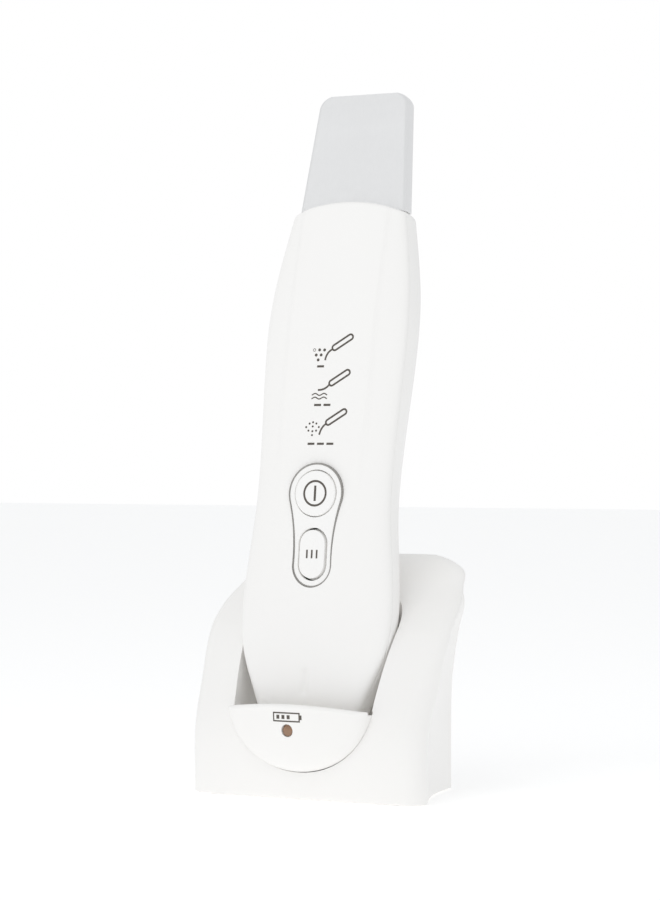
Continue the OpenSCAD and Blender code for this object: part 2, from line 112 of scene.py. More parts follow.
def along(rows, s, column):  # smooth value through the rows
    k = spanOf(rows, s)
    p, q = rows[k], rows[k + 1]
    h = q[0] - p[0]
    t = (s - p[0]) / h
    return ((2 * t**3 - 3 * t**2 + 1) * p[column]
            + (t**3 - 2 * t**2 + t) * h * slopeOf(rows, k, column)
            + (3 * t**2 - 2 * t**3) * q[column]
            + (t**3 - t**2) * h * slopeOf(rows, k + 1, column))


def layGrid(bm, columns, rows, place):  # a grid laid over the surface place(u, v)
    made = bmesh.ops.create_grid(bm, x_segments=columns, y_segments=rows, size=0.5)
    for vert in made["verts"]:
        vert.co = place(clamp(vert.co.x + 0.5), clamp(vert.co.y + 0.5))
    return made["verts"]


def joinSeams(bm):
    bmesh.ops.remove_doubles(bm, verts=bm.verts, dist=weldDistance)


def closeUp(bm):  # joins seams and poles, caps the open ends
    joinSeams(bm)
    rim = [e for e in bm.edges if e.is_boundary]
    if rim:
        bmesh.ops.holes_fill(bm, edges=rim, sides=0)
    bmesh.ops.recalc_face_normals(bm, faces=bm.faces)


def layDisc(bm, points, place):  # a flat face whose edge runs through place(t)
    made = bmesh.ops.create_circle(bm, cap_ends=True, segments=points, radius=1)
    for vert in made["verts"]:
        vert.co = place((math.atan2(vert.co.y, vert.co.x) / math.tau) % 1)
    return list({f for v in made["verts"] for f in v.link_faces})


def raiseFaces(bm, faces, height):  # extrudes a flat outline into a plate
    up = bmesh.ops.extrude_face_region(bm, geom=faces)
    top = [g for g in up["geom"] if isinstance(g, bmesh.types.BMVert)]
    bmesh.ops.translate(bm, verts=top, vec=(0, 0, height))
    bmesh.ops.recalc_face_normals(bm, faces=bm.faces)
    return [g for g in up["geom"] if isinstance(g, bmesh.types.BMFace)]


def softenRim(bm, faces, width, steps=3):  # rounds the edge round these faces
    rim = [e for f in faces for e in f.edges if sum(g in faces for g in e.link_faces) == 1]
    bmesh.ops.bevel(bm, geom=rim, offset=width, segments=steps, profile=0.5,
                    affect="EDGES", clamp_overlap=True, material=-1)


def turned(bm, profile, steps=64):  # spins a profile of (radius, height) about Z
    start = [bm.verts.new((r, 0, h)) for r, h in profile]
    edges = [bm.edges.new(pair) for pair in zip(start, start[1:])]
    bmesh.ops.spin(bm, geom=start + edges, cent=(0, 0, 0), axis=(0, 0, 1),
                   angle=math.tau, steps=steps, use_merge=True)
    closeUp(bm)


def addRod(bm, radius, low, high, place=Matrix.Identity(4), sides=40):
    made = bmesh.ops.create_cone(bm, cap_ends=True, segments=sides, radius1=radius,
                                 radius2=radius, depth=high - low)
    bmesh.ops.translate(bm, verts=made["verts"], vec=(0, 0, (low + high) / 2))
    bmesh.ops.transform(bm, matrix=place, verts=made["verts"])


def addBlock(bm, low, high, place=Matrix.Identity(4)):
    made = bmesh.ops.create_cube(bm, size=1)
    size = Vector(high) - Vector(low)
    bmesh.ops.scale(bm, verts=made["verts"], vec=size)
    bmesh.ops.translate(bm, verts=made["verts"], vec=(Vector(high) + Vector(low)) / 2)
    bmesh.ops.transform(bm, matrix=place, verts=made["verts"])


def shapeOf(bm, name, place):
    bmesh.ops.transform(bm, matrix=place, verts=bm.verts)
    mesh = bpy.data.meshes.new(name)
    bm.to_mesh(mesh)
    bm.free()
    shape = bpy.data.objects.new(name, mesh)
    scene.collection.objects.link(shape)
    return shape


def settle(shape):  # the modifiers' result becomes the shape's own mesh
    bpy.context.view_layer.update()
    live = shape.evaluated_get(bpy.context.evaluated_depsgraph_get())
    old, shape.data = shape.data, bpy.data.meshes.new_from_object(live)
    shape.modifiers.clear()
    bpy.data.meshes.remove(old)


def combine(shape, other, how="DIFFERENCE"):
    step = shape.modifiers.new(how.lower(), "BOOLEAN")
    step.operation, step.object, step.solver = how, other, "EXACT"
    settle(shape)
    mesh = other.data
    bpy.data.objects.remove(other)
    bpy.data.meshes.remove(mesh)


def addWall(shape, thickness, offset, even=True):
    wall = shape.modifiers.new("wall", "SOLIDIFY")
    wall.thickness, wall.offset, wall.use_even_offset = thickness * mm, offset, even
    settle(shape)


def walled(name, columns, rows, place, skin, thickness, offset=-1.0, even=True):
    bm = bmesh.new()
    layGrid(bm, columns, rows, skin)
    joinSeams(bm)
    shape = shapeOf(bm, name, place)
    addWall(shape, thickness, offset, even)
    return shape


def lofted(name, columns, rows, place, skin):  # a closed solid inside a surface
    bm = bmesh.new()
    layGrid(bm, columns, rows, skin)
    closeUp(bm)
    return shapeOf(bm, name, place)


def roundEdges(shape, width, segments):
    soft = shape.modifiers.new("soft edges", "BEVEL")
    soft.width, soft.segments, soft.limit_method = width * mm, segments, "ANGLE"
    soft.angle_limit, soft.use_clamp_overlap = math.radians(bevelAngle), True
    settle(shape)


def finishPiece(shape, body, finish, replaced=(), angle=38):
    shape.data.materials.clear()
    shape.data.materials.append(finish)
    for face in shape.data.polygons:
        face.use_smooth, face.material_index = True, 0
    shape.data.set_sharp_from_angle(angle=math.radians(angle))
    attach(shape, body)
    if replaced:
        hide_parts(*replaced)


noiseRange = (0.3, 0.7)  # where most of a noise's values lie
plasticScales = {"cloud": 45, "gloss": 90, "grain": 1400}


def startFinish(name, colour, roughness, metallic=0.0):
    finish = bpy.data.materials.new(name)
    finish.use_nodes = True
    tree = finish.node_tree
    shader = tree.nodes["Principled BSDF"]
    shader.inputs["Base Color"].default_value = (*colour, 1)
    shader.inputs["Roughness"].default_value = roughness
    shader.inputs["Metallic"].default_value = metallic
    coords = tree.nodes.new("ShaderNodeTexCoord")
    return finish, tree, shader, coords


def addNoise(tree, coords, scale, detail=3.0, stretch=(1, 1, 1)):
    mapping = tree.nodes.new("ShaderNodeMapping")
    mapping.inputs["Scale"].default_value = stretch
    noise = tree.nodes.new("ShaderNodeTexNoise")
    noise.inputs["Scale"].default_value = scale
    noise.inputs["Detail"].default_value = detail
    tree.links.new(coords.outputs["Object"], mapping.inputs["Vector"])
    tree.links.new(mapping.outputs["Vector"], noise.inputs["Vector"])
    return noise


def spread(tree, source, low, high, socket):  # maps a noise onto a range
    span = tree.nodes.new("ShaderNodeMapRange")
    span.inputs["From Min"].default_value, span.inputs["From Max"].default_value = noiseRange
    span.inputs["To Min"].default_value = low
    span.inputs["To Max"].default_value = high
    tree.links.new(source.outputs["Fac"], span.inputs["Value"])
    tree.links.new(span.outputs["Result"], socket)


def tint(tree, source, first, second, socket):
    mix = tree.nodes.new("ShaderNodeMix")
    mix.data_type = "RGBA"
    mix.inputs["A"].default_value = (*first, 1)
    mix.inputs["B"].default_value = (*second, 1)
    tree.links.new(source.outputs["Fac"], mix.inputs["Factor"])
    tree.links.new(mix.outputs["Result"], socket)


def addBump(tree, source, shader, strength, depth):
    bump = tree.nodes.new("ShaderNodeBump")
    bump.inputs["Strength"].default_value = strength
    bump.inputs["Distance"].default_value = depth
    tree.links.new(source.outputs["Fac"], bump.inputs["Height"])
    tree.links.new(bump.outputs["Normal"], shader.inputs["Normal"])


def makePlastic(name, colour, shade, roughness, grain=0.000004, coat=0.0):
    finish, tree, shader, coords = startFinish(name, colour, roughness)
    shader.inputs["Coat Weight"].default_value = coat
    shader.inputs["Coat Roughness"].default_value = 0.12
    shader.inputs["IOR"].default_value = 1.5
    cloud = addNoise(tree, coords, plasticScales["cloud"])
    tint(tree, cloud, colour, shade, shader.inputs["Base Color"])
    gloss = addNoise(tree, coords, plasticScales["gloss"], 2)
    spread(tree, gloss, roughness - 0.015, roughness + 0.02, shader.inputs["Roughness"])
    addBump(tree, addNoise(tree, coords, plasticScales["grain"], 2), shader, 0.25, grain)
    return finish


def makeMetal(name, colour, shade, roughness, stretch=(1, 1, 1), scale=600, brush=0.000006,
              anisotropy=0.0):
    finish, tree, shader, coords = startFinish(name, colour, roughness, 1.0)
    shader.inputs["Anisotropic"].default_value = anisotropy
    lines = addNoise(tree, coords, scale, 4, stretch)
    tint(tree, lines, colour, shade, shader.inputs["Base Color"])
    spread(tree, lines, roughness - 0.06, roughness + 0.08, shader.inputs["Roughness"])
    addBump(tree, lines, shader, 0.3, brush)
    return finish


caseWhite = makePlastic("caseWhite", (0.95, 0.941, 0.928), (0.94, 0.93, 0.914), 0.32, coat=0.15)
cradleWhite = makePlastic("cradleWhite", (0.95, 0.94, 0.925), (0.94, 0.929, 0.911), 0.36, coat=0.1)
buttonWhite = makePlastic("buttonWhite", (0.96, 0.952, 0.94), (0.95, 0.942, 0.928), 0.28, coat=0.2)
baseWhite = makePlastic("baseWhite", (0.72, 0.715, 0.7), (0.68, 0.672, 0.655), 0.5, grain=0.00003)
sealRubber = makePlastic("sealRubber", (0.66, 0.66, 0.65), (0.6, 0.6, 0.59), 0.6, grain=0.00002)
footRubber = makePlastic("footRubber", (0.055, 0.055, 0.057), (0.04, 0.04, 0.042), 0.75,
                         grain=0.00004)
blackPlastic = makePlastic("blackPlastic", (0.03, 0.03, 0.032), (0.022, 0.022, 0.024), 0.45)
boardGreen = makePlastic("boardGreen", (0.02, 0.13, 0.055), (0.015, 0.1, 0.045), 0.35)
cellSleeve = makePlastic("cellSleeve", (0.05, 0.2, 0.45), (0.04, 0.17, 0.4), 0.3)
piezoCeramic = makePlastic("piezoCeramic", (0.5, 0.38, 0.24), (0.44, 0.33, 0.2), 0.6)
ledResin = makePlastic("ledResin", (0.85, 0.82, 0.6), (0.8, 0.77, 0.55), 0.2)
markInk = makePlastic("markInk", (0.085, 0.072, 0.06), (0.11, 0.095, 0.08), 0.55)
bladeSteel = makeMetal("bladeSteel", (0.925, 0.925, 0.927), (0.91, 0.91, 0.912), 0.42,
                       stretch=(9, 9, 0.7), scale=260, brush=0.000002, anisotropy=0.3)
trimChrome = makeMetal("trimChrome", (0.4, 0.385, 0.365), (0.34, 0.33, 0.315), 0.25)
zincSteel = makeMetal("zincSteel", (0.62, 0.62, 0.6), (0.54, 0.54, 0.52), 0.3)
electrodeChrome = makeMetal("electrodeChrome", (0.78, 0.78, 0.78), (0.73, 0.73, 0.73), 0.14,
                            brush=0.000002)
turnedSteel = makeMetal("turnedSteel", (0.58, 0.58, 0.58), (0.5, 0.5, 0.5), 0.28,
                        stretch=(1, 1, 30), scale=120)
turnedAluminium = makeMetal("turnedAluminium", (0.72, 0.72, 0.73), (0.66, 0.66, 0.67), 0.3,
                            stretch=(1, 1, 30), scale=120)
goldPlate = makeMetal("goldPlate", (0.83, 0.6, 0.24), (0.76, 0.54, 0.2), 0.22)
copperWire = makeMetal("copperWire", (0.62, 0.3, 0.14), (0.5, 0.23, 0.1), 0.35,
                       stretch=(1, 1, 14), scale=180)


def makeAmber():
    finish, tree, shader, coords = startFinish("amberLens", (0.24, 0.125, 0.065), 0.2)
    shader.inputs["Coat Weight"].default_value = 0.8
    shader.inputs["Coat Roughness"].default_value = 0.06
    tint(tree, addNoise(tree, coords, 900, 3), (0.2, 0.105, 0.055), (0.36, 0.2, 0.11),
         shader.inputs["Base Color"])
    spread(tree, addNoise(tree, coords, 500), 0.15, 0.28, shader.inputs["Roughness"])
    return finish


amberLens = makeAmber()
print("finishes made")


case = {
    "height": 164.6, "roundness": 2.9, "wall": 1.9,
    # height, width, front depth, rear depth, parting line's y
    "stations": [
        [0, 24, 2.6, 9.6, 0.6], [1.6, 28, 3.6, 12, 0.4], [6, 32, 4.4, 13, 0],
        [14, 39, 5.3, 13.4, -0.2], [27, 49, 5.5, 13.4, -0.4], [42, 51.8, 5.6, 13.4, -0.8],
        [76, 46.2, 5.4, 14.8, -2.2],
        [124, 48.8, 5, 18.8, -2.4], [142, 46.6, 4.8, 18.6, -1.6], [170.6, 36.6, 4.6, 15, 0.2]],
    "lipCrown": 2.8, "lipHalf": 18.3, "lipRound": 1.1, "shoulderRound": 1.6,
    "partingGap": 0.07, "partingCurl": 0.32, "partingShare": 0.035,
    # raised tongue down the front: height, half-width, half the step's run, step
    "tongue": [[49.7, 10.9, 2.6, 0.2], [60, 12.0, 2.2, 0.25], [85, 14.7, 1.4, 0.38],
               [110, 15.2, 1.0, 0.46], [171, 15.2, 0.9, 0.52]],
    "tongueEndR": 10.9, "grooveMid": 17.6, "grooveHalf": 4.6, "grooveRun": 1.1, "grooveDeep": 0.5,
    "columns": 170, "rearColumns": 110, "rows": 230,
    "capShare": 0.03, "tongueShare": 0.6,  # shares of the grid given to the foot and the tongue
}
lipRadius = (case["lipHalf"] ** 2 + case["lipCrown"] ** 2) / (2 * case["lipCrown"])


def casePoint(angle, s, inset=0.0, rear=False):  # angle 0 at the right parting line, pi at the left
    n = case["roundness"]
    c, k = math.cos(angle), math.sin(angle)
    reach = (abs(c) ** n + abs(k) ** n) ** (-1 / n)
    depth = along(case["stations"], s, 3 if rear else 2) - inset
    return Vector(((along(case["stations"], s, 1) / 2 - inset) * reach * c,
                   along(case["stations"], s, 4) + (depth if rear else -depth) * reach * k, s))


def caseY(x, s, rear=False):
    n = case["roundness"]
    bulge = max(0.0, 1 - abs(2 * x / along(case["stations"], s, 1)) ** n) ** (1 / n)
    depth = along(case["stations"], s, 3 if rear else 2) * bulge
    return along(case["stations"], s, 4) + (depth if rear else -depth)


def lipTop(x):
    return case["height"] + case["lipCrown"] - lipRadius + math.sqrt(lipRadius**2 - x * x)


def tongueStep(x, s):
    end = case["tongue"][0][0]
    if s > end:
        edge = abs(x) - ramp(case["tongue"], s, 1)
    else:
        edge = math.hypot(x, s - end) - case["tongueEndR"]
    run = ramp(case["tongue"], s, 2)
    return softStep((edge + run) / (2 * run)) * ramp(case["tongue"], s, 3)


def grooveDip(x, s):
    across = math.exp(-(x / case["grooveRun"]) ** 2)
    down = softStep((case["grooveHalf"] - abs(s - case["grooveMid"])) / 1.6)
    return case["grooveDeep"] * across * down


def frontAngle(side, s):  # keeps a column of the grid on the tongue's edge
    share = case["tongueShare"]
    half = min(ramp(case["tongue"], s, 1), 0.85 * along(case["stations"], s, 1) / 2)
    n = case["roundness"]
    across = 2 * half / along(case["stations"], s, 1)
    edge = math.atan((across**-n - 1) ** (1 / n))
    q = abs(side)
    if q < share:
        angle = math.pi / 2 - (math.pi / 2 - edge) * q / share
    else:
        angle = edge * (1 - q) / (1 - share)
    return angle if side > 0 else math.pi - angle


def frontSkin(u, v):
    side, capShare, lipShare = 2 * u - 1, case["capShare"], 0.05
    if v < capShare:
        rim = casePoint(frontAngle(side, 0), 0)
        return Vector((0, case["stations"][0][4], 0)).lerp(rim, v / capShare)
    top = lipTop(casePoint(frontAngle(side, case["height"]), case["height"]).x)
    start, roll = top - case["lipRound"], case["lipRound"]
    if v > 1 - lipShare:
        bend = (v - 1 + lipShare) / lipShare * math.pi / 2
        s, inset = start + roll * math.sin(bend), roll * (1 - math.cos(bend))
    else:
        s, inset = start * (v - capShare) / (1 - capShare - lipShare), 0.0
    curl = clamp((abs(side) - 1 + case["partingShare"]) / case["partingShare"])
    point = casePoint(frontAngle(side, s), s, inset + case["partingCurl"] * curl * curl)
    reach = (along(case["stations"], s, 4) - point.y) / along(case["stations"], s, 2)
    point.y += (tongueStep(point.x, s) + grooveDip(point.x, s)) * clamp(reach * 1.3)
    point.y -= case["partingGap"] * curl
    return point


def rearSkin(u, v):
    capShare, rollShare, topShare = case["capShare"], 0.04, 0.03
    angle, roll = math.pi * u, case["shoulderRound"]
    start = case["height"] - roll
    if v < capShare:
        rim = casePoint(angle, 0, rear=True)
        return Vector((0, case["stations"][0][4], 0)).lerp(rim, v / capShare)
    s, inset, toMiddle = start * (v - capShare) / (1 - capShare - rollShare - topShare), 0.0, 0.0
    if v > 1 - rollShare - topShare:
        bend = clamp((v - 1 + rollShare + topShare) / rollShare) * math.pi / 2
        s, inset = start + roll * math.sin(bend), roll * (1 - math.cos(bend))
        toMiddle = clamp((v - 1 + topShare) / topShare)
    side = abs(2 * u - 1)
    curl = clamp((side - 1 + case["partingShare"]) / case["partingShare"])
    point = casePoint(angle, s, inset + case["partingCurl"] * curl * curl, rear=True)
    point.y += case["partingGap"] * curl
    return point.lerp(Vector((0, along(case["stations"], s, 4), s)), toMiddle)


buttonPanel = {"y": -7.75, "height": 74.9, "tip": 3.6, "pitch": 18.6, "thick": 1.5}
panelPlace = (handsetPlace @ Matrix.Translation((0, buttonPanel["y"], buttonPanel["height"]))
              @ Matrix.Rotation(math.radians(90 + buttonPanel["tip"]), 4, "X"))
surround = {"topR": 9.4, "lowR": 6.8, "pitch": 22, "waistR": 60, "rim": 0.5, "rimRound": 0.2,
            "plateInset": 0.5, "plateTop": 0.22, "plateRound": 0.16, "rimTop": 0.35, "keyGap": 0.3,
            "holeGrow": 0.04, "holeFrom": -9, "holeLong": 16, "points": 160}


def surroundEdge(t, inset=0.0):  # outline of two round lobes joined by a waist, t once round
    waistR = surround["waistR"] + inset
    topR, lowR = surround["topR"] - inset, surround["lowR"] - inset
    a, b, pitch = topR + waistR, lowR + waistR, surround["pitch"]
    drop = (a * a - b * b + pitch * pitch) / (2 * pitch)
    out = math.sqrt(a * a - drop * drop)
    topA, lowA = math.atan2(-drop, out), math.atan2(pitch - drop, out)
    t = (t + 0.25) % 1  # from the bottom, up the right side, over the top, down the left
    mirror = t > 0.5
    t = 2 * (1 - t) if mirror else 2 * t
    if t < 0.3:
        angle = -math.pi / 2 + (lowA + math.pi / 2) * t / 0.3
        x, y = lowR * math.cos(angle), -pitch + lowR * math.sin(angle)
    elif t < 0.6:
        angle = math.pi + lowA + (topA - lowA) * (t - 0.3) / 0.3
        x, y = out + waistR * math.cos(angle), -drop + waistR * math.sin(angle)
    else:
        angle = topA + (math.pi / 2 - topA) * (t - 0.6) / 0.4
        x, y = topR * math.cos(angle), topR * math.sin(angle)
    return Vector((-x if mirror else x, y, 0))


def capsuleEdge(t, width, height):  # an upright capsule's outline, t once round
    r, straight = width / 2, height - width
    length = math.pi * width + 2 * straight
    d = ((t * length) + straight / 2) % length  # t = 0 is the middle of the right side
    if d < straight:
        return Vector((r, -straight / 2 + d, 0))
    d -= straight
    if d < math.pi * r:
        return Vector((r * math.cos(d / r), straight / 2 + r * math.sin(d / r), 0))
    d -= math.pi * r
    if d < straight:
        return Vector((-r, straight / 2 - d, 0))
    d -= straight
    return Vector((-r * math.cos(d / r), -straight / 2 - r * math.sin(d / r), 0))


frontShell = walled("handsetFrontShell", case["columns"], case["rows"], handsetPlace, frontSkin,
                    case["wall"], even=False)
bm = bmesh.new()
opening = layDisc(bm, surround["points"], lambda t: surroundEdge(t, -surround["holeGrow"]))
raiseFaces(bm, opening, surround["holeLong"])
bmesh.ops.translate(bm, verts=bm.verts, vec=(0, 0, surround["holeFrom"]))
combine(frontShell, shapeOf(bm, "buttonOpening", panelPlace))
finishPiece(frontShell, "handset", caseWhite, ["front_shell"])
print("front shell made")

rearScrews = {"spots": [[-15, 27], [15, 27], [-16, 110], [16, 110]], "bossR": 3.4, "holeR": 2.1,
              "bossFrom": 2.0, "bossShort": 0.6, "seat": 7.2, "past": 30}
contactHoles = {"x": 6, "r": 2.6, "from": -1, "to": 4}
bladeSlot = {"half": 15.5, "front": 0.3, "back": 6.1, "below": 6, "above": 3}
electrode = {"width": 17, "height": 44, "mid": 106, "proud": 0.35, "gap": 0.22, "deep": 0.9,
             "round": 1.3, "wall": 1.0, "cutOut": 4, "columns": 120}


def electrodeSkin(u, v, grow=0.0, proud=0.0, roll=0.0):  # capsule patch on the rear, edge to middle
    edge = capsuleEdge(u, electrode["width"] + 2 * grow, electrode["height"] + 2 * grow)
    spineHalf = (electrode["height"] - electrode["width"]) / 2
    spine = Vector((0, clamp(edge.y, -spineHalf, spineHalf), 0))
    flat = edge.lerp(spine, v)
    reach = (edge - flat).length
    fall = roll - math.sqrt(max(0.0, roll**2 - (roll - min(reach, roll)) ** 2)) if roll else 0.0
    s = electrode["mid"] + flat.y
    return Vector((-flat.x, caseY(flat.x, s, rear=True) + proud - fall, s))


rearShell = walled("handsetRearShell", case["rearColumns"], case["rows"], handsetPlace, rearSkin,
                   case["wall"], even=False)

outY = Matrix.Rotation(math.radians(-90), 4, "X")  # turns +Z to +Y
bm = bmesh.new()
for x, s in rearScrews["spots"]:
    addRod(bm, rearScrews["bossR"], rearScrews["bossFrom"],
           caseY(x, s, rear=True) - rearScrews["bossShort"], Matrix.Translation((x, 0, s)) @ outY)
combine(rearShell, shapeOf(bm, "screwBosses", handsetPlace), "UNION")
bm = bmesh.new()
for x, s in rearScrews["spots"]:
    addRod(bm, rearScrews["holeR"], rearScrews["seat"], rearScrews["past"],
           Matrix.Translation((x, 0, s)) @ outY)
for x in (-contactHoles["x"], contactHoles["x"]):
    addRod(bm, contactHoles["r"], contactHoles["from"], contactHoles["to"],
           Matrix.Translation((x, contactY, 0)))
addBlock(bm, (-bladeSlot["half"], bladeSlot["front"], case["height"] - bladeSlot["below"]),
         (bladeSlot["half"], bladeSlot["back"], case["height"] + bladeSlot["above"]))
combine(rearShell, shapeOf(bm, "rearOpenings", handsetPlace))
combine(rearShell, walled("electrodeSeat", electrode["columns"], 12, handsetPlace,
                          lambda u, v: electrodeSkin(u, v, electrode["gap"], -electrode["deep"]),
                          electrode["cutOut"], 1.0))
finishPiece(rearShell, "handset", caseWhite, ["rear_shell"])

electrodePlate = walled(
    "handElectrodePlate", electrode["columns"], 16, handsetPlace,
    lambda u, v: electrodeSkin(u, v * v, 0, electrode["proud"], electrode["round"]),
    electrode["wall"])
finishPiece(electrodePlate, "handset", electrodeChrome, ["hand_electrode"])
print("rear shell and electrode made")


blade = {"foot": 0.2, "y": 0.2, "lean": 2.3, "baseHalf": 18.8, "tipHalf": 16, "height": 38.6,
         "sheet": 0.9, "wall": 0.75, "side": 4.2, "cornerR": 4.4, "foldR": 1.2, "edgeRound": 0.16,
         # shares of the half-width's grid where the fold starts and ends
         "foldFrom": 0.7, "foldTo": 0.85,
         # half-width, bottom and top of each step of the tang
         "tang": [(6, -18, 2), (14, -3, 1)], "tangFront": 0.1}
bladePlace = (handsetPlace @ Matrix.Translation((0, blade["y"], case["height"] + blade["foot"]))
              @ Matrix.Rotation(math.radians(-blade["lean"]), 4, "X"))


def bladeSkin(u, v):  # one sheet with its two sides turned back, u across, v up
    h = blade["height"] * (1 - (1 - v) ** 1.6)
    rise = min(1, h / (blade["height"] - blade["cornerR"]))
    half = blade["baseHalf"] + (blade["tipHalf"] - blade["baseHalf"]) * rise
    over = max(0.0, h - blade["height"] + blade["cornerR"])
    half -= blade["cornerR"] - math.sqrt(max(0.0, blade["cornerR"] ** 2 - over * over))
    deep = blade["side"] * math.sqrt(max(0.0, 1 - (over / blade["cornerR"]) ** 2))
    fold = min(blade["foldR"], deep)
    side = 1 if u > 0.5 else -1
    q, start, end = abs(2 * u - 1), blade["foldFrom"], blade["foldTo"]
    if q < start:
        return Vector((side * (half - fold) * q / start, 0, h))
    if q < end:
        bend = (q - start) / (end - start) * math.pi / 2
        return Vector((side * (half - fold + fold * math.sin(bend)), fold * (1 - math.cos(bend)), h))
    return Vector((side * half, fold + (deep - fold) * (q - end) / (1 - end), h))


bladeSheet = walled("spatulaSheet", 120, 90, bladePlace, bladeSkin, blade["wall"])
bm = bmesh.new()
for half, low, high in blade["tang"]:
    addBlock(bm, (-half, blade["tangFront"], low), (half, blade["sheet"], high))
tang = shapeOf(bm, "spatulaTang", bladePlace)
finishPiece(tang, "handset", bladeSteel)
roundEdges(bladeSheet, blade["edgeRound"], 2)
finishPiece(bladeSheet, "handset", bladeSteel, ["spatula_blade"], 60)
print("blade made")


keys = {"powerR": 7, "powerTop": 0.7, "dish": 0.14, "edgeRound": 0.42, "setW": 9.4, "setH": 15.6,
        "setTop": 0.62, "flange": 0.8, "dishShare": 0.92, "bossR": 1.5, "bossDeep": 1.9,
        "flangeDeep": 0.7, "powerBelow": 0.2, "setBelow": 0.3, "setFlange": 0.6, "setDrop": 0.85}

bm = bmesh.new()
raiseFaces(bm, layDisc(bm, surround["points"], lambda t: surroundEdge(t, surround["plateInset"])),
           buttonPanel["thick"] + surround["plateTop"])
bmesh.ops.translate(bm, verts=bm.verts, vec=(0, 0, -buttonPanel["thick"]))
plate = shapeOf(bm, "buttonSurround", panelPlace)
bm = bmesh.new()
addRod(bm, keys["powerR"] + surround["keyGap"], -6, 6, sides=96)
combine(plate, shapeOf(bm, "keyHole", panelPlace))
bm = bmesh.new()
raiseFaces(bm, layDisc(bm, 120, lambda t: capsuleEdge(
    t, keys["setW"] + 2 * surround["keyGap"], keys["setH"] + 2 * surround["keyGap"])), 12)
bmesh.ops.translate(bm, verts=bm.verts, vec=(0, -buttonPanel["pitch"], -6))
combine(plate, shapeOf(bm, "keyHole", panelPlace))
roundEdges(plate, surround["plateRound"], 3)
finishPiece(plate, "handset", buttonWhite, ["button_bezel"])


def rimSkin(u, v):  # closed ring section: outside, rounded top, inside, under
    wide, tall = surround["rim"], buttonPanel["thick"] + surround["rimTop"]
    corner, roll = (v * 4) % 4, surround["rimRound"]
    if corner < 1:
        inset, h = 0.0, corner * (tall - roll)
    elif corner < 2:
        bend = (corner - 1) * math.pi
        inset, h = wide / 2 * (1 - math.cos(bend)), tall - roll + roll * math.sin(bend)
    elif corner < 3:
        inset, h = wide, (3 - corner) * (tall - roll)
    else:
        inset, h = wide * (4 - corner), 0.0
    point = surroundEdge(u, inset)
    point.z = h - buttonPanel["thick"]
    return point


rimTrim = lofted("surroundRim", 180, 32, panelPlace, rimSkin)
finishPiece(rimTrim, "handset", trimChrome, ["button_bezel_rim"])

bm = bmesh.new()
top, edge, r = keys["powerTop"], keys["edgeRound"], keys["powerR"]
bottom = -buttonPanel["thick"] - keys["powerBelow"]
profile = [(0.0, top - keys["dish"])]
profile += [(r * k / 8 * keys["dishShare"], top - keys["dish"] * (1 - (k / 8) ** 2))
            for k in range(1, 9)]
profile += [(r - edge + edge * math.sin(a), top - edge + edge * math.cos(a))
            for a in [math.radians(18 * k) for k in range(1, 6)]]
profile += [(r, bottom), (r + keys["flange"], bottom),
            (r + keys["flange"], bottom - keys["flangeDeep"]),
            (keys["bossR"], bottom - keys["flangeDeep"]), (keys["bossR"], bottom - keys["bossDeep"]),
            (0.0, bottom - keys["bossDeep"])]
turned(bm, profile, 96)
powerKey = shapeOf(bm, "powerKeyCap", panelPlace)
finishPiece(powerKey, "power_key", buttonWhite, ["power_button"])

bm = bmesh.new()
setDeep = buttonPanel["thick"] + keys["setBelow"]
capFaces = raiseFaces(bm, layDisc(bm, 96, lambda t: capsuleEdge(t, keys["setW"], keys["setH"])),
                      setDeep + keys["setTop"])
softenRim(bm, capFaces, keys["edgeRound"], 4)
bmesh.ops.translate(bm, verts=bm.verts, vec=(0, 0, -setDeep))
raiseFaces(bm, layDisc(bm, 64, lambda t: capsuleEdge(t, keys["setW"] + 1, keys["setH"] - 0.6)),
           keys["setFlange"])
# the flange and the cap's side go down behind the plate
lowered = [v for v in bm.verts if -0.01 <= v.co.z <= keys["setFlange"] + 0.01]
bmesh.ops.translate(bm, verts=lowered, vec=(0, 0, -buttonPanel["thick"] - keys["setDrop"]))
bmesh.ops.translate(bm, verts=bm.verts, vec=(0, -buttonPanel["pitch"], 0))
setKey = shapeOf(bm, "setKeyCap", panelPlace)
finishPiece(setKey, "set_key", buttonWhite, ["set_button"])
print("buttons made")


marks = {"line": 0.58, "lift": 0.012, "film": 0.05, "bar": 2.4, "barGap": 0.9, "barThick": 0.68}
# the three mode marks, each a tool with a bent tail: bubbles, waves and spray
tools = {
    "handles": [(4.8, 121.95), (4.8, 110.85), (4.8, 98.6)], "wide": 1.7, "long": 7.8, "turn": 32,
    "tails": [((1.35, 119.75), (-0.5, 118.9), (-0.8, 116.4)),
              ((1.35, 108.65), (0.0, 107.0), (-2.4, 107.1)),
              ((1.35, 96.4), (-0.1, 95.5), (-0.6, 93.1))],
    "bubbles": [(-3.06, 119.7), (-1.3, 119.65), (-4.1, 118.1), (-2.35, 118.1), (-3.25, 116.55)],
    "bubbleR": 0.48, "ring": (-4.85, 119.7), "ringR": 0.5, "ringHollow": 0.34,
    "spray": [(-5.4, 95.5), (-4.3, 96.6), (-3.1, 97.0), (-1.9, 96.6), (-0.95, 95.5),
              (-3.1, 95.7), (-4.5, 94.4), (-3.1, 94.2), (-1.8, 94.4), (-3.1, 93.0)],
    "sprayR": 0.33, "waves": (105.7, 104.55), "waveFrom": -4.4, "waveLong": 5.4, "waveTall": 0.3,
    "waveLine": 0.36,
    # how many bars stand for each name, and where
    "names": [(1, -2.2, 114.5), (2, -0.4, 102.4), (3, 0.1, 90.3)],
}


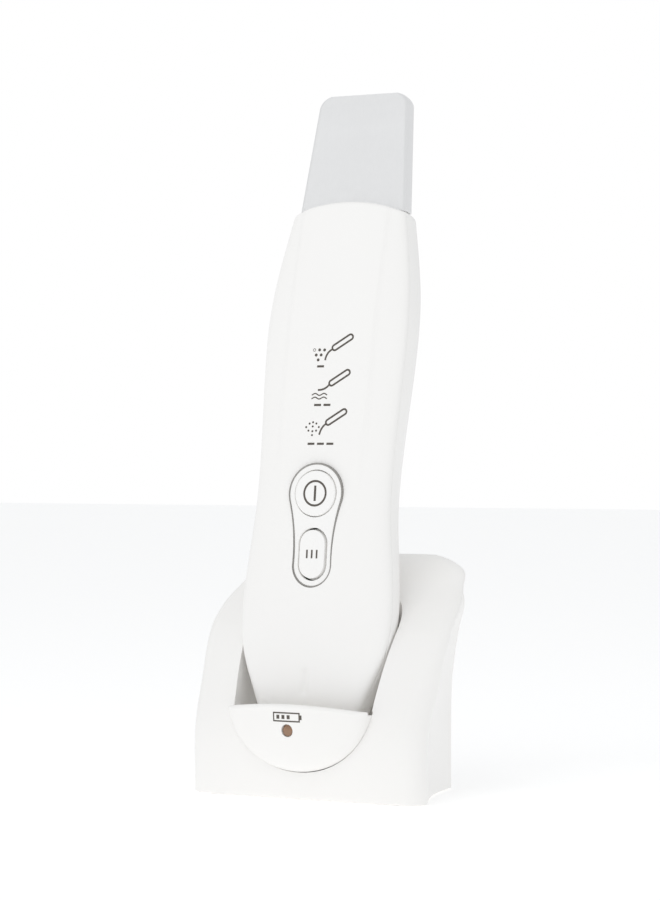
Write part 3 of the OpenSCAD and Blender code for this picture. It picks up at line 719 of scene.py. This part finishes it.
def strokeAlong(bm, path, place, width, columns=24):  # a flat line along path(t)
    def spot(u, v):
        ahead, behind = path(min(1, u + 0.01)), path(max(0, u - 0.01))
        run = Vector((ahead[0] - behind[0], ahead[1] - behind[1])).normalized()
        x, y = path(u)
        off = (v - 0.5) * width
        return place(x - run.y * off, y + run.x * off)
    layGrid(bm, columns, 2, spot)


def dotAt(bm, x, y, radius, place, hollow=0.0):  # a flat dot or ring
    def spot(u, v):
        r = hollow + (radius - hollow) * v
        return place(x + r * math.cos(math.tau * u), y + r * math.sin(math.tau * u))
    layGrid(bm, 24, 2, spot)


def straight(ax, ay, bx, by):
    return lambda t: (ax + (bx - ax) * t, ay + (by - ay) * t)


def curved(a, b, c):  # from a to c, pulled towards b
    return lambda t: ((1 - t) ** 2 * a[0] + 2 * t * (1 - t) * b[0] + t * t * c[0],
                      (1 - t) ** 2 * a[1] + 2 * t * (1 - t) * b[1] + t * t * c[1])


def loopOf(x, y, width, height, turn):
    turnBy = Matrix.Rotation(math.radians(turn - 90), 2)

    def path(t):
        p = turnBy @ capsuleEdge(t % 1, width, height).to_2d()
        return x + p.x, y + p.y
    return path


def finishMark(bm, name, place, body):
    joinSeams(bm)
    mark = shapeOf(bm, name, place)
    addWall(mark, marks["film"], 0.0)
    finishPiece(mark, body, markInk)


def onCase(x, s):
    return Vector((x, caseY(x, s) - marks["lift"], s))


def wordBars(bm, count, x, s, place):  # a row of short bars where each mode is named
    step = marks["bar"] + marks["barGap"]
    for k in range(count):
        mid = x + (k - (count - 1) / 2) * step
        strokeAlong(bm, straight(mid - marks["bar"] / 2, s, mid + marks["bar"] / 2, s), place,
                    marks["barThick"], 6)


bm = bmesh.new()
for x, s in tools["handles"]:
    strokeAlong(bm, loopOf(x, s, tools["wide"], tools["long"], tools["turn"]), onCase,
                marks["line"], 72)
for tail in tools["tails"]:
    strokeAlong(bm, curved(*tail), onCase, marks["line"])
for x, s in tools["bubbles"]:
    dotAt(bm, x, s, tools["bubbleR"], onCase)
dotAt(bm, *tools["ring"], tools["ringR"], onCase, tools["ringHollow"])
for x, s in tools["spray"]:
    dotAt(bm, x, s, tools["sprayR"], onCase)
for s in tools["waves"]:
    strokeAlong(bm, lambda t, s=s: (tools["waveFrom"] + tools["waveLong"] * t, s + tools["waveTall"]
                                    * math.sin(3.5 * math.pi * t - 0.8)),
                onCase, tools["waveLine"], 36)
for count, x, s in tools["names"]:
    wordBars(bm, count, x, s, onCase)
finishMark(bm, "modeMarks", handsetPlace, "handset")


keyMarks = {"ringR": 3.75, "ringLine": 0.64, "stemHalf": 2.35, "stemLine": 0.74,
            "dashes": (-1.7, 0, 1.7), "dashHalf": 1.3, "dashLine": 0.55}


def onPower(x, y):
    reach = clamp((x * x + y * y) ** 0.5 / (keys["powerR"] * keys["dishShare"]))
    return Vector((x, y, keys["powerTop"] - keys["dish"] * (1 - reach**2) + marks["lift"]))


bm = bmesh.new()
strokeAlong(bm, lambda t: (keyMarks["ringR"] * math.cos(math.tau * t),
                           keyMarks["ringR"] * math.sin(math.tau * t)),
            onPower, keyMarks["ringLine"], 96)
strokeAlong(bm, straight(0, -keyMarks["stemHalf"], 0, keyMarks["stemHalf"]), onPower,
            keyMarks["stemLine"], 12)
finishMark(bm, "powerMark", panelPlace, "power_key")


def onSet(x, y):
    return Vector((x, y - buttonPanel["pitch"], keys["setTop"] + marks["lift"]))


bm = bmesh.new()
for x in keyMarks["dashes"]:
    strokeAlong(bm, straight(x, -keyMarks["dashHalf"], x, keyMarks["dashHalf"]), onSet,
                keyMarks["dashLine"], 4)
finishMark(bm, "setMark", panelPlace, "set_key")
print("marks made")


cradle = {
    # height, front corner's y, half-width, back y, back half-width, front crown, corner radius
    "stations": [
        [0.2, 0.4, 40.2, 49.8, 27, 0.8, 5.5], [20, 0.4, 40.2, 49.8, 27, 2.2, 5.5],
        [35, 6.8, 41, 49.8, 27.4, 5.2, 4.5], [50, 14.4, 41.8, 50.4, 29.4, 4.6, 3],
        [58, 22, 41.3, 50.8, 31.2, 4, 3], [65, 30.5, 38.6, 50.6, 30, 3, 3],
        [69, 34.4, 36.8, 50.4, 29.2, 2, 3], [72, 38, 30.5, 48.2, 25.5, 1, 3],
        [73.4, 42, 24.2, 46.5, 20, 0.4, 3]],
    "foot": 0.2, "top": 73.4, "backR": 3, "sideHollow": 2.4, "wall": 2.2,
    "pocketFootHalf": 24.1, "pocketHalf": 26.3, "pocketFull": 36, "pocketRear": 13.9,
    "pocketRoundness": 3, "pocketWall": 2, "pocketOut": -30, "pocketReach": 80,
    "bowlMid": 12, "bowlDeep": 18, "hollowLow": -1, "hollowTop": 60, "voxel": 0.56, "smoothing": 2,
    "jackZ": 11, "jackR": 4, "jackFrom": 45, "jackTo": 57,
    "posts": [[-29, 12], [29, 12], [-16, 42.4], [16, 42.4]], "postR": 3, "postFrom": 4, "postTo": 36,
    "screwR": 1.2, "screwFrom": 3, "screwTo": 13,
    # the opening for the contact block, in the handset's frame
    "contactLow": (-12.1, 1.0, -12), "contactHigh": (12.1, 8.2, -2),
}


def cradleEdge(t, z, inset=0.0):  # half a section: front, front corner, side, back corner, back
    rows = cradle["stations"]
    f, hw = along(rows, z, 1) + inset, along(rows, z, 2) - inset
    b, bw = along(rows, z, 3) - inset, along(rows, z, 4) - inset
    r, q = (min(c, (b - f) / 2 - 0.5) for c in (along(rows, z, 6), cradle["backR"]))
    if t < 0.3:
        x = (hw - r) * t / 0.3
        return Vector((x, f - along(rows, z, 5) * (1 - (x / hw) ** 2), z))
    if t < 0.4:
        a = math.radians(-90 + 90 * (t - 0.3) / 0.1)
        dip = along(rows, z, 5) * (1 - ((hw - r) / hw) ** 2) * (0.4 - t) / 0.1
        return Vector((hw - r + r * math.cos(a), f + r + r * math.sin(a) - dip, z))
    if t < 0.7:
        k = (t - 0.4) / 0.3
        return Vector((hw + (bw - hw) * k - cradle["sideHollow"] * math.sin(math.pi * k),
                       f + r + (b - f - r - q) * k, z))
    if t < 0.8:
        a = math.radians(90 * (t - 0.7) / 0.1)
        return Vector((bw - q + q * math.cos(a), b - q + q * math.sin(a), z))
    return Vector(((bw - q) * (1 - t) / 0.2, b, z))


def cradleSkin(u, v, inset=0.0, low=cradle["foot"], high=cradle["top"]):
    z = low + (high - low) * v
    half = cradleEdge(2 * min(u, 1 - u), z, inset)
    return half if u <= 0.5 else Vector((-half.x, half.y, half.z))


def pocketSkin(u, v, grow=0.0):  # closed channel, open past the cradle's front
    foot, grip = cradle["pocketFootHalf"], cradle["pocketHalf"]
    if v < 0.5:
        bend = math.pi / 2 * v / 0.5
        s = cradle["bowlMid"] - (cradle["bowlDeep"] + grow) * math.cos(bend)
        half = (foot + grow) * math.sin(bend)
    else:
        s = cradle["bowlMid"] + (v - 0.5) / 0.5 * cradle["pocketReach"]
        draft = clamp((s - cradle["bowlMid"]) / (cradle["pocketFull"] - cradle["bowlMid"]))
        half = foot + (grip - foot) * draft + grow
    n, rear, out = cradle["pocketRoundness"], cradle["pocketRear"] + grow, cradle["pocketOut"]
    if u < 0.5:
        a = math.pi * u / 0.5
        c, k = math.cos(a), math.sin(a)
        reach = (abs(c) ** n + abs(k) ** n) ** (-1 / n)
        return Vector((half * reach * c, rear * reach * k, s))
    if u < 0.6:
        return Vector((-half, out * (u - 0.5) / 0.1, s))
    if u < 0.9:
        return Vector((-half + 2 * half * (u - 0.6) / 0.3, out, s))
    return Vector((half, out * (1 - u) / 0.1, s))


panel = {"half": 24.1, "deep": 20.7, "mid": 29.5, "front": 1.5, "bulge": 9.2, "wall": 2.0,
         "lipDrop": 1.9, "lipRise": 0.2, "firstTurn": 7.9, "endTaper": 3.5, "endShare": 0.4,
         "bead": 0.22, "beadRun": 0.045, "back": 2.2, "gap": 0.26, "ledZ": 21.8, "ledHole": 1.95,
         "openingFrom": 2.4, "openingDeep": 10, "ledLong": 30}


def bowlEdge(t, grow=0.0):  # outline of the half-round panel, once round, closed along the lip
    t = (t + 0.25) % 1
    lipEnd = math.asin((panel["lipDrop"] - panel["lipRise"]) / panel["deep"])
    half = panel["half"] + grow
    if t < 0.75:
        a = math.pi + lipEnd + (math.pi - 2 * lipEnd) * t / 0.75
        return Vector((half * math.cos(a), (panel["deep"] + grow) * math.sin(a), 0))
    k = 1 - 2 * (t - 0.75) / 0.25
    return Vector((half * math.cos(lipEnd) * k, panel["lipRise"] - panel["lipDrop"] * k * k, 0))


towardFront = Matrix.Rotation(math.radians(90), 4, "X")  # turns +Z to -Y, +Y to +Z

cradleBody = lofted("cradleBody", 200, 110, cradlePlace, cradleSkin)
remesh = cradleBody.modifiers.new("even mesh", "REMESH")
remesh.mode, remesh.voxel_size, remesh.adaptivity = "VOXEL", cradle["voxel"] * mm, 0
relax = cradleBody.modifiers.new("relax", "SMOOTH")
relax.factor, relax.iterations = 0.5, cradle["smoothing"]
settle(cradleBody)
combine(cradleBody, lofted("pocket", 160, 80, handsetPlace, pocketSkin))

hollow = lofted("hollow", 120, 40, cradlePlace, lambda u, v: cradleSkin(
    u, v, cradle["wall"], cradle["hollowLow"], cradle["hollowTop"]))
combine(hollow, lofted("pocketWall", 100, 50, handsetPlace,
                       lambda u, v: pocketSkin(u, v, cradle["pocketWall"])))
combine(cradleBody, hollow)
bm = bmesh.new()
for x, y in cradle["posts"]:
    addRod(bm, cradle["postR"], cradle["postFrom"], cradle["postTo"], Matrix.Translation((x, y, 0)))
combine(cradleBody, shapeOf(bm, "screwPosts", cradlePlace), "UNION")

bm = bmesh.new()
raiseFaces(bm, layDisc(bm, 200, lambda t: bowlEdge(t, panel["gap"])), panel["openingDeep"])
bmesh.ops.transform(bm, verts=bm.verts, matrix=Matrix.Translation(
    (0, panel["openingFrom"], panel["mid"])) @ towardFront)
addRod(bm, cradle["jackR"], cradle["jackFrom"], cradle["jackTo"],
       Matrix.Translation((0, 0, cradle["jackZ"])) @ outY)
for x, y in cradle["posts"]:
    addRod(bm, cradle["screwR"], cradle["screwFrom"], cradle["screwTo"],
           Matrix.Translation((x, y, 0)))
combine(cradleBody, shapeOf(bm, "bodyOpenings", cradlePlace))
bm = bmesh.new()
addBlock(bm, cradle["contactLow"], cradle["contactHigh"])
combine(cradleBody, shapeOf(bm, "contactOpening", handsetPlace))
finishPiece(cradleBody, "cradle", cradleWhite, ["cradle_body"], 42)
print("cradle body made", len(cradleBody.data.polygons))

panelLipRadius = (panel["half"] ** 2 + panel["lipDrop"] ** 2) / (2 * panel["lipDrop"])


def panelTop(x):
    arc = math.sqrt(panelLipRadius**2 - x * x)
    return panel["mid"] + panel["lipRise"] - panelLipRadius + arc


def panelSkin(u, v):  # closed section swept from the left end of the lip to the right
    first = math.radians(panel["firstTurn"])
    a = math.pi - first - (math.pi - 2 * first) * u
    half, deep = panel["half"], panel["deep"]
    taper = softStep((half * (1 - abs(math.cos(a)))) / panel["endTaper"])
    wallNow = panel["wall"] * (panel["endShare"] + (1 - panel["endShare"]) * taper)
    bulge = panel["bulge"] - panel["front"]

    def shellPoint(inset, share):  # share 0 at the seam, 1 at the lip
        x = (half - inset) * math.cos(a) / math.cos(first)
        radial = math.sin(a)
        rise = (panelTop(x) - wallNow / 2 - panel["mid"]) / ((deep - inset) * radial)
        tilt = -math.pi / 2 + (math.asin(clamp(rise, -1, 1)) + math.pi / 2) * share
        if inset < 1:
            inset -= panel["bead"] * taper * softStep(1 - (1 - share) / panel["beadRun"])
        return Vector((x, -panel["front"] - (bulge - inset) * radial * math.cos(tilt),
                       panel["mid"] + (deep - inset) * radial * math.sin(tilt)))
    flange = panel["front"] + panel["back"]
    if v < 0.1:
        return shellPoint(0, 0) + Vector((0, flange * (1 - v / 0.1), 0))
    if v < 0.5:
        return shellPoint(0, 1 - (1 - (v - 0.1) / 0.4) ** 1.5)
    if v < 0.65:
        bend, roll = (v - 0.5) / 0.15 * math.pi, wallNow / 2
        return shellPoint(roll * (1 - math.cos(bend)), 1) + Vector((0, 0, roll * math.sin(bend)))
    if v < 0.9:
        return shellPoint(wallNow, 1 - (v - 0.65) / 0.25)
    return shellPoint(wallNow, 0) + Vector((0, flange * (v - 0.9) / 0.1, 0))


def panelY(x, z):
    bulge = max(0.0, 1 - (x / panel["half"]) ** 2 - ((z - panel["mid"]) / panel["deep"]) ** 2)
    return -panel["front"] - (panel["bulge"] - panel["front"]) * math.sqrt(bulge)


bm = bmesh.new()
layGrid(bm, 150, 100, panelSkin)
joinSeams(bm)
backRims = [e for e in bm.edges if e.is_boundary
            and min(v.co.y for v in e.verts) > panel["back"] - 0.01]
bmesh.ops.bridge_loops(bm, edges=backRims)
closeUp(bm)
frontPanel = shapeOf(bm, "cradlePanel", cradlePlace)
bm = bmesh.new()
ledPlace = Matrix.Translation((0, 0, panel["ledZ"])) @ towardFront
addRod(bm, panel["ledHole"], 0, panel["ledLong"], ledPlace, 64)
combine(frontPanel, shapeOf(bm, "ledHole", cradlePlace))
finishPiece(frontPanel, "cradle", cradleWhite, ["cradle_front_panel"], 45)

lens = {"r": 1.72, "edge": 8.0, "dome": 0.45, "back": 5.7}
bm = bmesh.new()
profile = [(lens["r"] * math.sin(a), lens["edge"] + lens["dome"] * math.cos(a))
           for a in [math.radians(15 * k) for k in range(7)]]
turned(bm, [(0.0, lens["back"])] + [(lens["r"], lens["back"])] + profile[::-1], 48)
bmesh.ops.transform(bm, verts=bm.verts, matrix=ledPlace)
chargeLens = shapeOf(bm, "chargeLens", cradlePlace)
finishPiece(chargeLens, "cradle", amberLens, ["charge_led_lens"], 60)


def onPanel(x, z):
    return Vector((x, panelY(x, z) - marks["lift"], z))


battery = {"mid": 25.9, "long": 8.8, "tall": 2.5, "line": 0.42, "tipOut": 0.5, "tipHalf": 0.7,
           "tipLine": 0.6, "cells": (-2.9, -1.1, 0.7), "cellHalf": 0.6, "cellWide": 1.0}
bm = bmesh.new()
halfL, halfT, mid = battery["long"] / 2, battery["tall"] / 2, battery["mid"]
corners = [(-halfL, mid - halfT), (halfL, mid - halfT), (halfL, mid + halfT), (-halfL, mid + halfT)]
for start, end in zip(corners, corners[1:] + corners[:1]):
    run = (Vector(end) - Vector(start)).normalized() * battery["line"] / 2  # squares off the corners
    strokeAlong(bm, straight(start[0] - run.x, start[1] - run.y, end[0] + run.x, end[1] + run.y),
                onPanel, battery["line"], 16)
tipX = halfL + battery["tipOut"]
strokeAlong(bm, straight(tipX, mid - battery["tipHalf"], tipX, mid + battery["tipHalf"]), onPanel,
            battery["tipLine"], 4)
for x in battery["cells"]:
    strokeAlong(bm, straight(x, mid - battery["cellHalf"], x, mid + battery["cellHalf"]), onPanel,
                battery["cellWide"], 4)
finishMark(bm, "chargeMark", cradlePlace, "cradle")
print("cradle panel, lens and mark made")


nodeFinishes = {
    "charge_led": ledResin, "cradle_base_plate": baseWhite, "cradle_feet": footRubber,
    "cradle_screws": zincSteel, "contact_block": blackPlastic, "contact_springs": zincSteel,
    "charge_pcb": boardGreen, "dc_jack": blackPlastic, "contact_pins": goldPlate,
    "blade_seal": sealRubber, "transducer_horn": turnedAluminium, "piezo_rings": piezoCeramic,
    "transducer_back_mass": turnedSteel, "transducer_bolt": zincSteel,
    "transducer_mounts": sealRubber,
    "main_pcb": boardGreen, "tact_switches": blackPlastic, "mode_leds": ledResin,
    "ultrasonic_coil": copperWire, "battery_cells": cellSleeve, "battery_terminals": zincSteel,
    "charging_contacts": goldPlate, "case_screws": zincSteel,
}
for nodeName, finish in nodeFinishes.items():
    shown = frame["nodes"][nodeName]
    shown.data.materials.clear()
    shown.data.materials.append(finish)
print("frame parts finished")


stage = {"floor": (0.98, 0.98, 0.98), "floorGlow": 0.2, "floorHalf": 4, "roomLight": 0.765,
         "roomTint": (0.982, 0.992, 1.0),
         # azimuth, elevation in degrees, distance, power and size of each lamp
         "keyLamp": (0, 50, 1.1, 1.7, 0.6), "fillLamp": (-29, 24, 1.1, 0.2, 0.6),
         "lightBounces": 12}
bm = bmesh.new()
bmesh.ops.create_grid(bm, x_segments=1, y_segments=1, size=stage["floorHalf"])
floor = shapeOf(bm, "floor", Matrix.Identity(4))
floorFinish, tree, shader, coords = startFinish("floorPaper", stage["floor"], 0.9)
shader.inputs["Emission Color"].default_value = (1, 1, 1, 1)
shader.inputs["Emission Strength"].default_value = stage["floorGlow"]
floor.data.materials.append(floorFinish)

world = bpy.data.worlds.new("studio")
world.use_nodes = True
room, roomLinks = world.node_tree.nodes, world.node_tree.links
backdrop = room.new("ShaderNodeBackground")
rays = room.new("ShaderNodeLightPath")
choose = room.new("ShaderNodeMixShader")
room["Background"].inputs["Color"].default_value = (*stage["roomTint"], 1)
room["Background"].inputs["Strength"].default_value = stage["roomLight"]
backdrop.inputs["Color"].default_value = (1, 1, 1, 1)
roomLinks.new(rays.outputs["Is Camera Ray"], choose.inputs["Fac"])
roomLinks.new(room["Background"].outputs["Background"], choose.inputs[1])
roomLinks.new(backdrop.outputs["Background"], choose.inputs[2])
roomLinks.new(choose.outputs["Shader"], room["World Output"].inputs["Surface"])
scene.world = world

middle = (cadLow + cadHigh) / 2


def addLamp(name, glossy):
    azimuth, elevation, distance, power, size = stage[name]
    around = (Matrix.Rotation(math.radians(azimuth), 4, "Z")
              @ Matrix.Rotation(math.radians(-elevation), 4, "X"))
    lamp = bpy.data.lights.new(name, "AREA")
    lamp.energy, lamp.size = power, size
    holder = bpy.data.objects.new(name, lamp)
    holder.location = middle + around @ Vector((0, -distance, 0))
    holder.rotation_euler = (middle - holder.location).to_track_quat("-Z", "Y").to_euler()
    holder.visible_glossy = glossy
    scene.collection.objects.link(holder)


addLamp("keyLamp", False)
addLamp("fillLamp", True)

view = {"spot": (434.5, -765.8, 106), "turn": 29, "lens": 116.4, "sensor": 36}  # cradle's frame
camera = bpy.data.cameras.new("camera")
camera.lens, camera.sensor_width, camera.sensor_fit = view["lens"], view["sensor"], "AUTO"
cameraHolder = bpy.data.objects.new("camera", camera)
cameraHolder.location = cradlePlace @ Vector(view["spot"])
cameraHolder.rotation_euler = (math.radians(90), 0, math.radians(view["turn"]))
scene.collection.objects.link(cameraHolder)
scene.camera = cameraHolder
scene.view_settings.view_transform = "Standard"
scene.cycles.diffuse_bounces = scene.cycles.max_bounces = stage["lightBounces"]
print("stage, lights and camera set")
